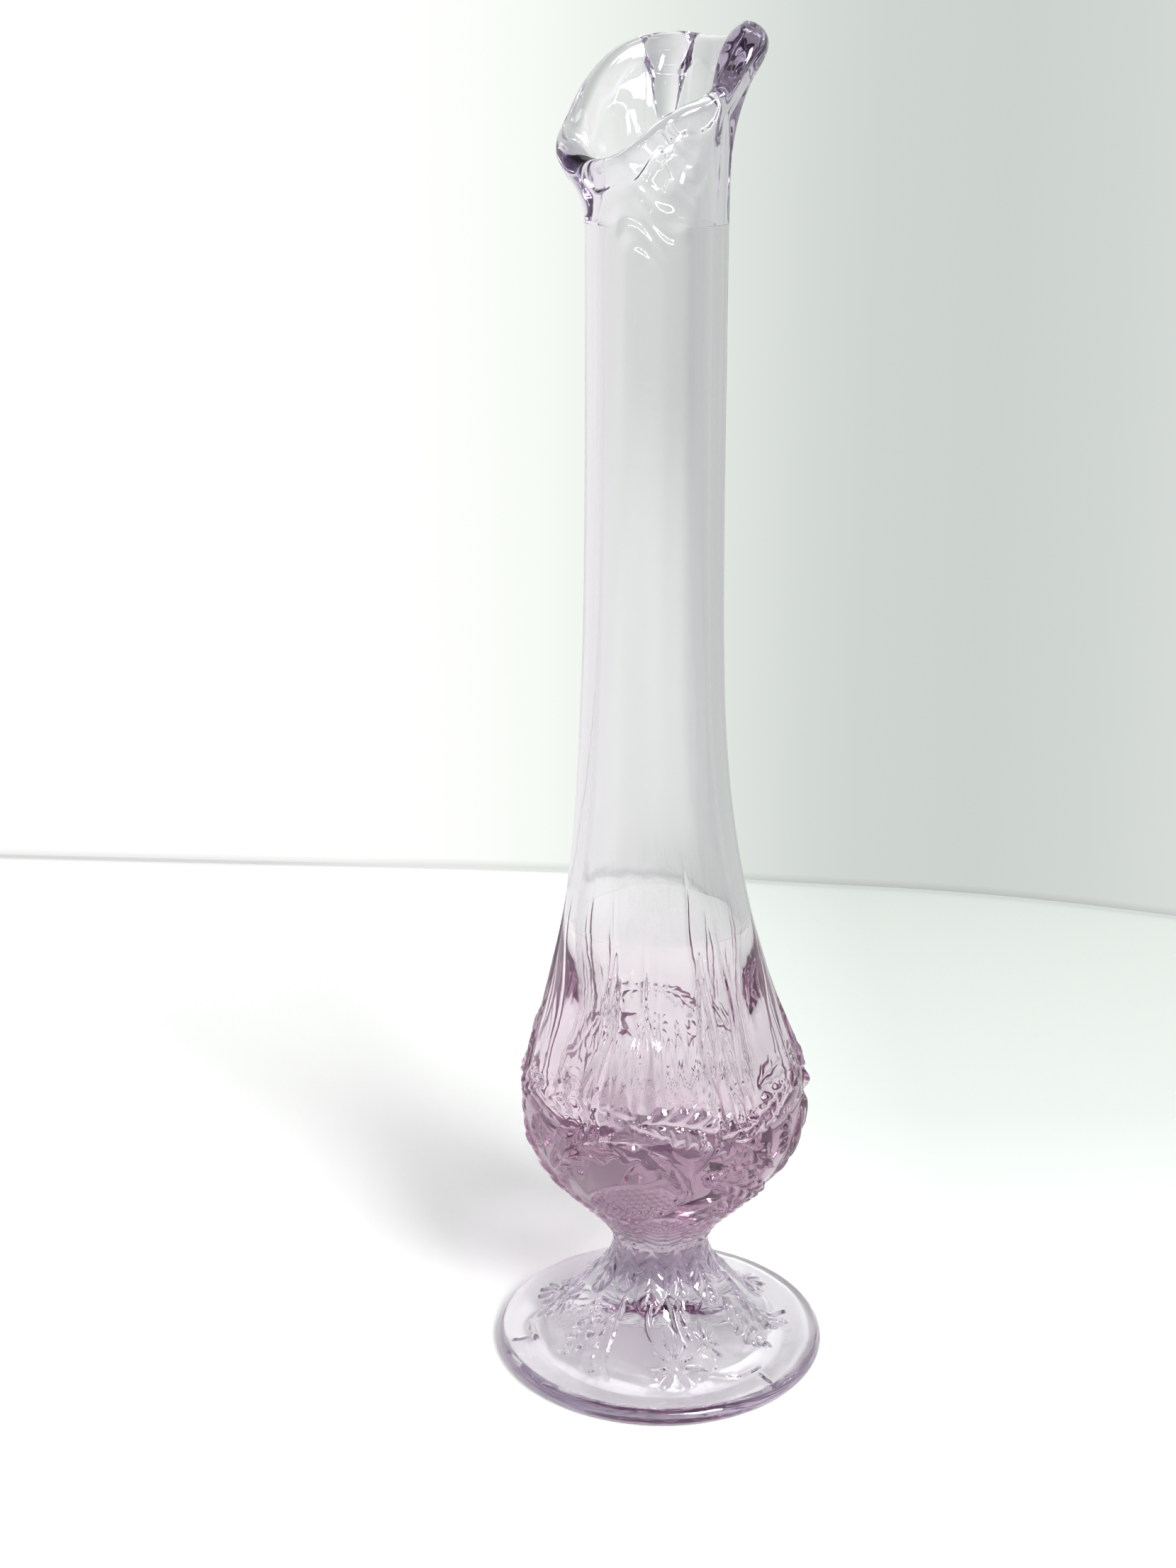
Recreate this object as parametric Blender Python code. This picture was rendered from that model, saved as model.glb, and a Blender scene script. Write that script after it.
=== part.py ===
"""Pressed and swung glass bud vase, as a Blender 4.5 script.

Run it with: blender --background --python part.py
Metres, +Z up. The origin is the middle of the foot's underside, on the table. The front of the vase
looks along -Y, and a turn about the vase's axis is counted from the front towards +X.

The vase is five sections of glass, one above the other: foot, stem, bowl, neck and lip. Each section
is its own closed solid, with a flat joint to the next one.
"""
import math

import bmesh
import bpy

# Driving dimensions, in metres. The section heights stack up from the table.
FOOT_DIAMETER = 0.0760
FOOT_HEIGHT = 0.0200
FOOT_EDGE_HEIGHT = 0.0042  # thickness of the round outer edge
FOOT_BRIM_HEIGHT = 0.0056  # top of the brim, where the dome starts
FOOT_DOME_DIAMETER = 0.0530
FOOT_RING_WIDTH = 0.0070  # the flat ring that the vase stands on
FOOT_RING_INSET = 0.0020  # from the outer edge to the flat ring
FOOT_HOLLOW_HEIGHT = 0.0110  # hollow under the foot, inside the flat ring

STEM_HEIGHT = 0.0140
STEM_WAIST_DIAMETER = 0.0210
STEM_WAIST_HEIGHT = 0.0070  # above the joint with the foot
STEM_FLARE = 0.0026  # growth in radius from the waist down to the foot

BOWL_HEIGHT = 0.0740
BOWL_DIAMETER = 0.0622
BOWL_BELLY_HEIGHT = 0.0340  # widest place, above the joint with the stem
BOWL_FLOOR_HEIGHT = 0.0200  # lowest place of the cavity, above the joint with the stem
BOWL_WALL = 0.0064  # up to where the wall starts to thin
THINNING_HEIGHT = 0.0460  # the wall starts to thin here, above the joint of bowl and stem
SHOULDER_LENGTH = 0.0424  # over this length the belly draws in to the neck

NECK_HEIGHT = 0.1500
NECK_DIAMETER = 0.0292
NECK_WALL = 0.0027
NECK_LEAN = 0.0031  # the swung neck ends this far towards -X
LEAN_START_HEIGHT = 0.0210  # above the joint of bowl and stem
LEAN_LENGTH = 0.1050

LIP_WALL = 0.0032
LIP_FLARE = 0.0018  # growth in radius between the fingers
FINGER_FLARE = 0.0044  # how much further out a finger stands
FINGER_WIDTH = 21.0  # degrees
FINGER_TURNS = (-76.0, 76.0, 172.0)  # degrees
# Height of the slanted rim above the joint of neck and lip, at turns about the axis in degrees.
RIM_OUTLINE = (
    (-150.0, 0.0325),
    (-120.0, 0.0265),
    (-98.0, 0.0205),
    (-76.0, 0.0165),
    (-50.0, 0.0132),
    (-25.0, 0.0150),
    (0.0, 0.0205),
    (26.0, 0.0235),
    (46.0, 0.0265),
    (60.0, 0.0345),
    (76.0, 0.0388),
    (100.0, 0.0366),
    (140.0, 0.0352),
    (172.0, 0.0370),
)

RIDGE_TURNS = (-57.0, 63.0, 183.0)  # the three thick ridges, degrees
BOWL_RIDGE_RISE = 0.0016  # how far a ridge stands out, measured in radius
NECK_RIDGE_RISE = 0.0006
RIDGE_START_HEIGHT = 0.0040  # above the joint of bowl and stem
RIDGE_RUN_IN = 0.0220  # over this height a ridge grows to its full rise

JOINT_GAP = 0.0003  # clearance between the flat faces of two sections
SIDES = 48

# Shapes of the curves, without a unit.
DOME_POWER = 1.3
HOLLOW_POWER = 1.5
LOWER_BOWL_POWER = 1.6
SHOULDER_POWER = 1.35
RIDGE_POWER = 2.5
FLARE_POWER = 2.4
CAVITY_POWER = 0.5

# Heights of the joints, from the table.
STEM_BASE = FOOT_HEIGHT
BOWL_BASE = STEM_BASE + STEM_HEIGHT
NECK_BASE = BOWL_BASE + BOWL_HEIGHT
LIP_BASE = NECK_BASE + NECK_HEIGHT

STEM_WAIST = STEM_BASE + STEM_WAIST_HEIGHT
BOWL_BELLY = BOWL_BASE + BOWL_BELLY_HEIGHT
BOWL_FLOOR = BOWL_BASE + BOWL_FLOOR_HEIGHT
THINNING_START = BOWL_BASE + THINNING_HEIGHT


def smooth_step(share):
    """An S-shaped rise from 0 to 1 as share goes from 0 to 1."""
    share = min(max(share, 0.0), 1.0)
    return share * share * (3.0 - 2.0 * share)


def turn_between(turn, other):
    """The smaller angle between two turns, in degrees, from 0 to 180."""
    return abs((turn - other + 180.0) % 360.0 - 180.0)


def outline_radius(height):
    """Radius of the round form that the ridges stand on, from the stem's foot end up to the lip."""
    waist = STEM_WAIST_DIAMETER / 2
    belly = BOWL_DIAMETER / 2
    neck = NECK_DIAMETER / 2
    if height < STEM_WAIST:
        return waist + STEM_FLARE * ((STEM_WAIST - height) / STEM_WAIST_HEIGHT) ** 2
    if height < BOWL_BELLY:
        down = (BOWL_BELLY - height) / (BOWL_BELLY - STEM_WAIST)
        drop = math.sin(math.pi / 2 * down**LOWER_BOWL_POWER) ** 2
        return belly - (belly - waist) * drop
    up = (height - BOWL_BELLY) / SHOULDER_LENGTH
    return neck + (belly - neck) * math.exp(-(up**SHOULDER_POWER))


def ridge_rise(turn, height):
    """How far the ridges lift the surface at a turn and a height."""
    away = min(turn_between(turn, ridge) for ridge in RIDGE_TURNS)
    crest = max(math.cos(math.radians(1.5 * away)), 0.0) ** RIDGE_POWER
    grown = smooth_step((height - BOWL_BASE - RIDGE_START_HEIGHT) / RIDGE_RUN_IN)
    drawn = smooth_step((height - BOWL_BELLY) / (NECK_BASE - BOWL_BELLY))
    rise = BOWL_RIDGE_RISE + (NECK_RIDGE_RISE - BOWL_RIDGE_RISE) * drawn
    return rise * grown * (crest - 0.5)


def wall_thickness(height):
    """Thickness of the wall: thick around the belly, then drawn out to the neck's."""
    drawn = smooth_step((height - THINNING_START) / (NECK_BASE - THINNING_START))
    return BOWL_WALL + (NECK_WALL - BOWL_WALL) * drawn


def axis_place(height):
    """X of the vase's axis: upright in foot and stem, then swung over to -X."""
    return -NECK_LEAN * smooth_step((height - BOWL_BASE - LEAN_START_HEIGHT) / LEAN_LENGTH)


def point_at(turn, radius, height):
    """A point at a turn, a radius about the vase's axis, and a height."""
    angle = math.radians(turn)
    x = axis_place(height) + radius * math.sin(angle)
    y = -radius * math.cos(angle)
    return (x, y, height)


def side_turns():
    """The turns of a ring's points, in degrees."""
    return [360.0 * side / SIDES - 180.0 for side in range(SIDES)]


def add_ring(bm, points):
    """The vertices of a closed ring through the points."""
    return [bm.verts.new(point) for point in points]


def outer_ring(bm, height):
    """A level ring on the outer surface."""
    points = []
    for turn in side_turns():
        radius = outline_radius(height) + ridge_rise(turn, height)
        points.append(point_at(turn, radius, height))
    return add_ring(bm, points)


def round_ring(bm, radius, height):
    """A level, round ring."""
    return add_ring(bm, [point_at(turn, radius, height) for turn in side_turns()])


def join_rings(bm, rings):
    """A band of four-sided faces between each ring and the next one."""
    for ring, following in zip(rings, rings[1:]):
        for side in range(SIDES):
            after = (side + 1) % SIDES
            bm.faces.new((ring[side], ring[after], following[after], following[side]))


def close_ring(bm, ring):
    """One flat face inside a ring."""
    bm.faces.new(ring)


def steps_between(start, end, count):
    """Evenly spaced values from start to end, both included."""
    return [start + (end - start) * step / count for step in range(count + 1)]


def glass(name, colour, roughness=0.05):
    """A plain glass material in the section's own colour."""
    material = bpy.data.materials.new(name)
    material.use_nodes = True
    shader = material.node_tree.nodes["Principled BSDF"]
    shader.inputs["Base Color"].default_value = (*colour, 1.0)
    shader.inputs["Roughness"].default_value = roughness
    shader.inputs["Metallic"].default_value = 0.0
    shader.inputs["Transmission Weight"].default_value = 0.85
    shader.inputs["IOR"].default_value = 1.5
    return material


def finish_section(bm, name, material, parent):
    """Turns the finished mesh into a named, smooth-shaded section."""
    bmesh.ops.recalc_face_normals(bm, faces=bm.faces[:])
    mesh = bpy.data.meshes.new(name)
    bm.to_mesh(mesh)
    bm.free()
    mesh.shade_smooth()
    mesh.set_sharp_from_angle(angle=math.radians(40.0))
    mesh.materials.append(material)
    section = bpy.data.objects.new(name, mesh)
    section.parent = parent
    bpy.context.collection.objects.link(section)
    return section


def foot_profile():
    """Half outline of the foot as (radius, height), from its top joint out and round to its underside."""
    edge_radius = FOOT_EDGE_HEIGHT / 2
    outer = FOOT_DIAMETER / 2
    dome = FOOT_DOME_DIAMETER / 2
    top = FOOT_HEIGHT - JOINT_GAP / 2
    inner = outline_radius(top)
    profile = []
    for share in steps_between(0.0, 1.0, 6):
        rise = (top - FOOT_BRIM_HEIGHT) * (1.0 - share) ** DOME_POWER
        profile.append((inner + (dome - inner) * share, FOOT_BRIM_HEIGHT + rise))
    for angle in steps_between(90.0, 0.0, 4) + steps_between(0.0, -60.0, 3)[1:]:
        turn = math.radians(angle)
        radius = outer - edge_radius + edge_radius * math.cos(turn)
        profile.append((radius, edge_radius + edge_radius * math.sin(turn)))
    ring_outer = outer - FOOT_RING_INSET
    ring_inner = ring_outer - FOOT_RING_WIDTH
    profile.append((ring_outer, 0.0))
    profile.append((ring_inner, 0.0))
    for reach in steps_between(0.88, 0.16, 6):
        profile.append((ring_inner * reach, FOOT_HOLLOW_HEIGHT * (1.0 - reach**2) ** HOLLOW_POWER))
    return profile


def make_foot(parent):
    """Round foot: standing ring, round edge, brim and a dome up to the stem."""
    bm = bmesh.new()
    profile = foot_profile()
    verts = [bm.verts.new((radius, 0.0, height)) for radius, height in profile]
    edges = [bm.edges.new(pair) for pair in zip(verts, verts[1:])]
    bmesh.ops.spin(
        bm,
        geom=verts + edges,
        cent=(0.0, 0.0, 0.0),
        axis=(0.0, 0.0, 1.0),
        angle=math.tau,
        steps=SIDES,
        use_merge=True,
    )
    bmesh.ops.remove_doubles(bm, verts=bm.verts[:], dist=0.00001)
    bmesh.ops.holes_fill(bm, edges=bm.edges[:], sides=SIDES)
    return finish_section(bm, "foot", glass("lavender glass", (0.66, 0.60, 0.78)), parent)


def make_stem(parent):
    """Short solid stem with a waist."""
    bm = bmesh.new()
    bottom = STEM_BASE + JOINT_GAP / 2
    top = BOWL_BASE - JOINT_GAP / 2
    rings = [round_ring(bm, outline_radius(z), z) for z in steps_between(bottom, top, 6)]
    join_rings(bm, rings)
    close_ring(bm, rings[0])
    close_ring(bm, rings[-1])
    return finish_section(bm, "stem", glass("violet glass", (0.55, 0.44, 0.66)), parent)


def cavity_radius(height):
    """Radius of the bowl's cavity: a rounded floor that opens into the even wall."""
    wall_run = outline_radius(height) - wall_thickness(height)
    climbed = (height - BOWL_FLOOR) / (BOWL_BELLY - BOWL_FLOOR)
    if climbed >= 1.0:
        return wall_run
    belly_run = BOWL_DIAMETER / 2 - BOWL_WALL
    floor_run = belly_run * max(1.0 - (1.0 - climbed) ** 2, 0.0) ** CAVITY_POWER
    return min(wall_run, floor_run)


def make_bowl(parent):
    """Pressed bowl: solid base, three thick ridges and an open cavity."""
    bm = bmesh.new()
    bottom = BOWL_BASE + JOINT_GAP / 2
    top = NECK_BASE - JOINT_GAP / 2
    outside = [outer_ring(bm, z) for z in steps_between(bottom, BOWL_BELLY, 8)]
    outside += [outer_ring(bm, z) for z in steps_between(BOWL_BELLY, top, 8)[1:]]
    inside = [round_ring(bm, cavity_radius(z), z) for z in steps_between(top, BOWL_BELLY, 7)]
    for share in (0.72, 0.46, 0.24, 0.08, 0.015):
        height = BOWL_FLOOR + (BOWL_BELLY - BOWL_FLOOR) * share
        inside.append(round_ring(bm, cavity_radius(height), height))
    join_rings(bm, outside + inside)
    close_ring(bm, outside[0])
    close_ring(bm, inside[-1])
    return finish_section(bm, "bowl", glass("mauve glass", (0.66, 0.47, 0.62)), parent)


def make_neck(parent):
    """Long swung neck: a tube with the bowl's ridges drawn out thin."""
    bm = bmesh.new()
    bottom = NECK_BASE + JOINT_GAP / 2
    top = LIP_BASE - JOINT_GAP / 2
    outside = [outer_ring(bm, z) for z in steps_between(bottom, top, 11)]
    inside = []
    for height in steps_between(top, bottom, 11):
        radius = outline_radius(height) - wall_thickness(height)
        inside.append(round_ring(bm, radius, height))
    join_rings(bm, outside + inside + outside[:1])
    return finish_section(bm, "neck", glass("pale lilac glass", (0.80, 0.77, 0.85)), parent)


def rim_height(turn):
    """Height of the rim above the table at a turn, on a smooth closed curve through the rim outline."""
    count = len(RIM_OUTLINE)
    turns = [station[0] for station in RIM_OUTLINE]
    heights = [station[1] for station in RIM_OUTLINE]
    while turn < turns[0]:
        turn += 360.0
    first = max(index for index in range(count) if turns[index] <= turn)

    def place(index):
        return turns[index % count] + 360.0 * (index // count)

    def level(index):
        return heights[index % count]

    def slope(index):
        return (level(index + 1) - level(index - 1)) / (place(index + 1) - place(index - 1))

    span = place(first + 1) - place(first)
    along = (turn - place(first)) / span
    from_low = (1 + 2 * along) * (1 - along) ** 2 * level(first)
    from_high = along**2 * (3 - 2 * along) * level(first + 1)
    bend_low = along * (1 - along) ** 2 * span * slope(first)
    bend_high = along**2 * (along - 1) * span * slope(first + 1)
    return LIP_BASE + from_low + from_high + bend_low + bend_high


def lip_flare(turn):
    """How far the rim stands out from the neck at a turn: most at the three fingers."""
    fingers = 0.0
    for finger in FINGER_TURNS:
        fingers += math.exp(-((turn_between(turn, finger) / FINGER_WIDTH) ** 2))
    return LIP_FLARE + FINGER_FLARE * fingers


def lip_ring(bm, climb, side, around=0.0):
    """A ring of the lip, climb of the way up to the slanted rim.

    side is 1 on the outside and -1 on the inside. On the rim itself, around is the angle over the
    round edge in degrees, from 0 outside to 180 inside.
    """
    points = []
    base = LIP_BASE + JOINT_GAP / 2
    for turn in side_turns():
        half_wall = (NECK_WALL + (LIP_WALL - NECK_WALL) * climb) / 2
        crown = rim_height(turn) - LIP_WALL / 2
        height = base + (crown - base) * climb
        outside = outline_radius(LIP_BASE) + ridge_rise(turn, LIP_BASE) * (1.0 - climb)
        middle = outside - NECK_WALL / 2 + lip_flare(turn) * climb**FLARE_POWER
        if around:
            reach = half_wall * math.cos(math.radians(around))
            height += half_wall * math.sin(math.radians(around))
        else:
            reach = half_wall * side
        points.append(point_at(turn, middle + reach, height))
    return add_ring(bm, points)


def make_lip(parent):
    """Flared, slanted mouth with a round edge and three pulled fingers."""
    bm = bmesh.new()
    climbs = (0.0, 0.25, 0.45, 0.62, 0.77, 0.89, 1.0)
    outside = [lip_ring(bm, climb, 1) for climb in climbs]
    rim = [lip_ring(bm, 1.0, 1, around) for around in (45.0, 90.0, 135.0)]
    inside = [lip_ring(bm, climb, -1) for climb in reversed(climbs)]
    join_rings(bm, outside + rim + inside + outside[:1])
    return finish_section(bm, "lip", glass("clear lilac glass", (0.76, 0.72, 0.84)), parent)


def build_vase():
    """Clears the scene and builds the five sections under one empty."""
    for item in list(bpy.data.objects):
        bpy.data.objects.remove(item, do_unlink=True)
    vase = bpy.data.objects.new("bud_vase", None)
    bpy.context.collection.objects.link(vase)
    for make_section in (make_foot, make_stem, make_bowl, make_neck, make_lip):
        make_section(vase)


build_vase()
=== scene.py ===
import bpy
import numpy as np
from math import radians
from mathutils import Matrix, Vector


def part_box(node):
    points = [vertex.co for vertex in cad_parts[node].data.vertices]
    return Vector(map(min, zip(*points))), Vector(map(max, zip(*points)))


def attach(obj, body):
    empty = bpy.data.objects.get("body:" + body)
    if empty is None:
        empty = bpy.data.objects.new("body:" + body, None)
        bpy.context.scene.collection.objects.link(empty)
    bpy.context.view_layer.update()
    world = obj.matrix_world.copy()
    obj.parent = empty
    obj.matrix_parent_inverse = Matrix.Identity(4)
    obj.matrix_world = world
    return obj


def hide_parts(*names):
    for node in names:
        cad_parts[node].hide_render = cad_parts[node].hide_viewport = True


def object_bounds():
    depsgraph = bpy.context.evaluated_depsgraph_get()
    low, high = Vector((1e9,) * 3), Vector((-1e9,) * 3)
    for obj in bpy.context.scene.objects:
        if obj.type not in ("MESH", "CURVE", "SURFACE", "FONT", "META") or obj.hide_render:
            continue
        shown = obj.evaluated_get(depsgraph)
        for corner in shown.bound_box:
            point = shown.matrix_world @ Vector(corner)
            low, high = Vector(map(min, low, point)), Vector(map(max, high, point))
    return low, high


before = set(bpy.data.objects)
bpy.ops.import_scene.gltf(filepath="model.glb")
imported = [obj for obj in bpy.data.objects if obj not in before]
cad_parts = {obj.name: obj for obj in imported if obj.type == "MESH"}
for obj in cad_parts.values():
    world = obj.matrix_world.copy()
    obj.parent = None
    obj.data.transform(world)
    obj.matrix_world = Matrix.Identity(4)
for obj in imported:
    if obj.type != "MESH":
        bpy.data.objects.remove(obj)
cadLow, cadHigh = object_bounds()
print("frame loaded:", len(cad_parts), "sections")

# Everything below is worked out in millimetres and turned into metres when a mesh is made.
# A place on the vase is a turn about its axis, in degrees from the front towards +X, and a height.
mm = 0.001


def sectionSpan(node):
    low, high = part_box(node)
    return low[2] / mm, high[2] / mm


footJoint = (sectionSpan("foot")[1] + sectionSpan("stem")[0]) / 2
stemJoint = (sectionSpan("stem")[1] + sectionSpan("bowl")[0]) / 2
bowlJoint = (sectionSpan("bowl")[1] + sectionSpan("neck")[0]) / 2
neckJoint = (sectionSpan("neck")[1] + sectionSpan("lip")[0]) / 2
footRadius = (cadHigh.x - cadLow.x) / 2 / mm

camera = {"side": -17.0, "back": 471.7, "height": 293.4, "down": 18.2, "lens": 52.08}

vaseForm = {
    "waistRadius": 10.5,
    "waistRise": 7.0,  # from the joint with the foot up to the waist
    "stemFlare": 2.6,
    "bellyRadius": 31.1,
    "bellyHeight": stemJoint + 34.0,
    "lowerPower": 1.6,
    "neckRadius": 14.6,
    "shoulderLength": 42.4,
    "shoulderPower": 1.35,
    "cavityFloor": stemJoint + 20.0,
    "bellyWall": 6.4,
    "thinStart": stemJoint + 46.0,
    "neckWall": 2.7,
    "neckLean": 3.1,
    "leanStart": stemJoint + 21.0,
    "leanLength": 105.0,
    "ridgeTurns": (-57.0, 63.0, 183.0),
    "ridgeHalfWidth": 19.0,
    "bowlRidgeEdge": 3.2,
    "neckRidgeEdge": 17.0,
    "bowlRidge": 2.0,
    "neckRidge": 0.42,
    "jointGap": 0.03,
}
vaseForm["waistHeight"] = footJoint + vaseForm["waistRise"]


def smoothStep(share):  # 3 s^2 - 2 s^3, held at 0 and 1 outside
    share = np.clip(share, 0.0, 1.0)
    return share * share * (3.0 - 2.0 * share)


def turnApart(turn, other):  # smaller angle between two turns, 0 to 180
    return np.abs((turn - other + 180.0) % 360.0 - 180.0)


def outlineRadius(height):
    # waist + flare * down^2 under the waist, belly - (belly - waist) * sin^2 up to the belly,
    # then neck + (belly - neck) * exp(-up^shoulderPower)
    f = vaseForm
    height = np.asarray(height, float)
    under = f["waistRadius"] + f["stemFlare"] * ((f["waistHeight"] - height) / f["waistRise"]) ** 2
    down = np.clip((f["bellyHeight"] - height) / (f["bellyHeight"] - f["waistHeight"]), 0.0, 1.0)
    drop = np.sin(np.pi / 2 * down ** f["lowerPower"]) ** 2
    lower = f["bellyRadius"] - (f["bellyRadius"] - f["waistRadius"]) * drop
    up = np.clip((height - f["bellyHeight"]) / f["shoulderLength"], 0.0, None)
    upper = f["neckRadius"] + (f["bellyRadius"] - f["neckRadius"]) * np.exp(-(up ** f["shoulderPower"]))
    return np.where(height < f["waistHeight"], under, np.where(height < f["bellyHeight"], lower, upper))


def axisPlace(height):  # x of the axis: 0, then an S-curve over to -neckLean
    f = vaseForm
    return -f["neckLean"] * smoothStep((height - f["leanStart"]) / f["leanLength"])


def wallThickness(height):  # thick around the belly, then an S-curve down to the neck's
    f = vaseForm
    drawn = smoothStep((height - f["thinStart"]) / (bowlJoint - f["thinStart"]))
    return f["bellyWall"] + (f["neckWall"] - f["bellyWall"]) * drawn


def ridgeLift(turn, height):
    # a soft-edged box over each ridge, centred so that ridges rise and panels sink
    f = vaseForm
    away = np.min([turnApart(turn, ridge) for ridge in f["ridgeTurns"]], axis=0)
    drawn = smoothStep((height - f["bellyHeight"] + 4.0) / (bowlJoint - f["bellyHeight"]))
    edge = f["bowlRidgeEdge"] + (f["neckRidgeEdge"] - f["bowlRidgeEdge"]) * drawn
    crest = 1.0 - smoothStep((away - f["ridgeHalfWidth"] + edge) / (2 * edge))
    panel = smoothStep((away - f["ridgeHalfWidth"] + 3.0) / (63.0 - f["ridgeHalfWidth"]))
    grown = smoothStep((height - stemJoint - 12.0) / 20.0)
    lift = f["bowlRidge"] + (f["neckRidge"] - f["bowlRidge"]) * drawn
    return lift * grown * (0.6 * crest - 0.4 * panel)


def onVase(turn, radius, height):  # x = axis + r sin(turn), y = -r cos(turn), z = height
    angle = np.radians(turn)
    height = height + 0.0 * turn
    return np.stack([axisPlace(height) + radius * np.sin(angle), -radius * np.cos(angle), height], axis=-1)


def ringTurns(sides):  # even turns all the way round
    return np.arange(sides) * 360.0 / sides - 180.0


# ---- relief pressed into the glass

def curveThrough(points, count=44):  # Catmull-Rom curve through the points
    p = np.asarray(points, float)
    p = np.vstack([2 * p[0] - p[1], p, 2 * p[-1] - p[-2]])
    at = np.linspace(0.0, len(p) - 3.0, count)
    i = np.minimum(at.astype(int), len(p) - 4)
    t = (at - i)[:, None]
    a, b, c, d = p[i], p[i + 1], p[i + 2], p[i + 3]
    return 0.5 * (2 * b + (c - a) * t + (2 * a - 5 * b + 4 * c - d) * t**2 + (3 * b - a - 3 * c + d) * t**3)


def alongCurve(u, v, points):
    # share along the curve and signed distance to it, by the nearest of its straight pieces
    line = curveThrough(points)
    start, step = line[:-1], np.diff(line, axis=0)
    length = np.hypot(step[:, 0], step[:, 1])
    best = np.full(u.shape, 1e9)
    share = np.zeros(u.shape)
    side = np.zeros(u.shape)
    run = np.concatenate([[0.0], np.cumsum(length)])
    for k in range(len(step)):
        du, dv = u - start[k, 0], v - start[k, 1]
        t = np.clip((du * step[k, 0] + dv * step[k, 1]) / length[k] ** 2, 0.0, 1.0)
        away = np.hypot(du - t * step[k, 0], dv - t * step[k, 1])
        closer = away < best
        best = np.where(closer, away, best)
        share = np.where(closer, (run[k] + t * length[k]) / run[-1], share)
        side = np.where(closer, np.sign(du * step[k, 1] - dv * step[k, 0]), side)
    return share, side * best


def leafLift(u, v, points, width, height, lobes, notch=0.2, vein=0.42):
    # rounded blade sqrt(1 - (d/w)^2) with a notched edge, a groove along the midrib and slanting veins
    share, away = alongCurve(u, v, points)
    w = width * np.clip(np.sin(np.pi * np.clip(share, 0.0, 1.0) ** 0.8), 0.02, 1.0) ** 0.7
    w = w * (1.0 + notch * np.cos(2 * np.pi * (lobes * share - 0.25)))
    across = np.abs(away) / w
    blade = np.clip(1.0 - across**2, 0.0, 1.0) ** 0.38
    midrib = np.exp(-((across / 0.11) ** 2))
    veins = (0.5 - 0.5 * np.cos(2 * np.pi * (lobes * share - 0.9 * across))) ** 1.4
    return height * blade * (1.0 - vein * veins - 0.5 * midrib)


def vineLift(u, v, points, width, height):  # round cord along a curve
    share, away = alongCurve(u, v, points)
    return height * np.sqrt(np.clip(1.0 - (away / width) ** 2, 0.0, 1.0))


def daisyLift(u, v, place, radius, height, petals):
    # |cos| petals around a small bead
    du, dv = u - place[0], v - place[1]
    reach = np.hypot(du, dv) / radius
    petal = np.abs(np.cos(petals / 2 * np.arctan2(du, dv))) ** 0.7
    edge = np.clip(1.0 - (reach / (0.55 + 0.45 * petal)) ** 4, 0.0, 1.0) ** 0.5
    bead = np.sqrt(np.clip(1.0 - (reach / 0.2) ** 2, 0.0, 1.0))
    return height * np.maximum(edge * petal * smoothStep((reach - 0.12) / 0.25), bead)


def berryLift(u, v, place, size, height, tilt, bead):
    # domed oval covered with beads on a six-way lattice
    c, s = np.cos(np.radians(tilt)), np.sin(np.radians(tilt))
    du, dv = (u - place[0]) * c + (v - place[1]) * s, (v - place[1]) * c - (u - place[0]) * s
    oval = np.clip(1.0 - (du / size[0]) ** 2 - (dv / size[1]) ** 2, 0.0, 1.0)
    rowStep = bead * 0.866
    row = np.round(dv / rowStep)
    shift = (row % 2) * 0.5
    column = np.round(du / bead - shift)
    away = np.hypot(du - (column + shift) * bead, dv - row * rowStep)
    beads = np.sqrt(np.clip(1.0 - (away / (0.5 * bead)) ** 2, 0.0, 1.0))
    return height * (0.7 * np.sqrt(oval) + 0.55 * beads * smoothStep(oval * 6.0))


# Motifs of one third of the bowl, in millimetres along the girth and up the outline. A berry has its
# middle, half sizes, height, tilt and bead; a leaf its midrib, half-width, height and lobes; a daisy its
# middle, radius, height and petals; a vine its line, half-width and height.
relief = {
    "sectorMiddle": 3.0,  # turn of the front panel's middle
    "meltStart": 66.0,  # above this height the pattern melts away
    "meltLength": 16.0,
    "berry": ((-9.0, 20.5), (10.5, 6.6), 1.0, 14.0, 1.7),
    "curl": ([(-25, 12), (-29, 24), (-23, 34), (-11, 38), (-1, 34), (3, 26), (-2, 20)], 4.4, 1.4, 9),
    "feathers": (
        ([(-8, 43), (4, 42), (16, 36), (25, 27)], 4.8, 1.3, 10),
        ([(7, 29), (14, 26), (22, 18), (28, 9)], 3.8, 1.2, 8),
        ([(-31, 44), (-22, 46), (-12, 44), (-4, 38)], 3.8, 1.1, 8),
        ([(30, 46), (24, 44), (19, 40), (13, 38)], 3.4, 1.1, 7),
        ([(-34, 8), (-33, 16), (-35, 25)], 3.0, 1.0, 6),
    ),
    "daisies": (((14.0, 15.5), 5.6, 0.8, 12), ((33.0, 33.0), 6.2, 0.8, 14), ((-1.0, 9.0), 3.6, 0.7, 9)),
    "vines": (
        ([(3, 2), (6, 8), (10, 12)], 0.7, 0.6),
        ([(-20, 5), (-17, 12), (-16, 18)], 0.8, 0.6),
        ([(26, 6), (31, 14), (33, 27)], 0.8, 0.6),
        ([(-6, 27), (4, 31), (9, 36)], 0.7, 0.5),
    ),
}


def sectorSpot(turn):  # turn inside its third of the vase, -60 to 60
    return (turn - relief["sectorMiddle"] + 60.0) % 120.0 - 60.0


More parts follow.
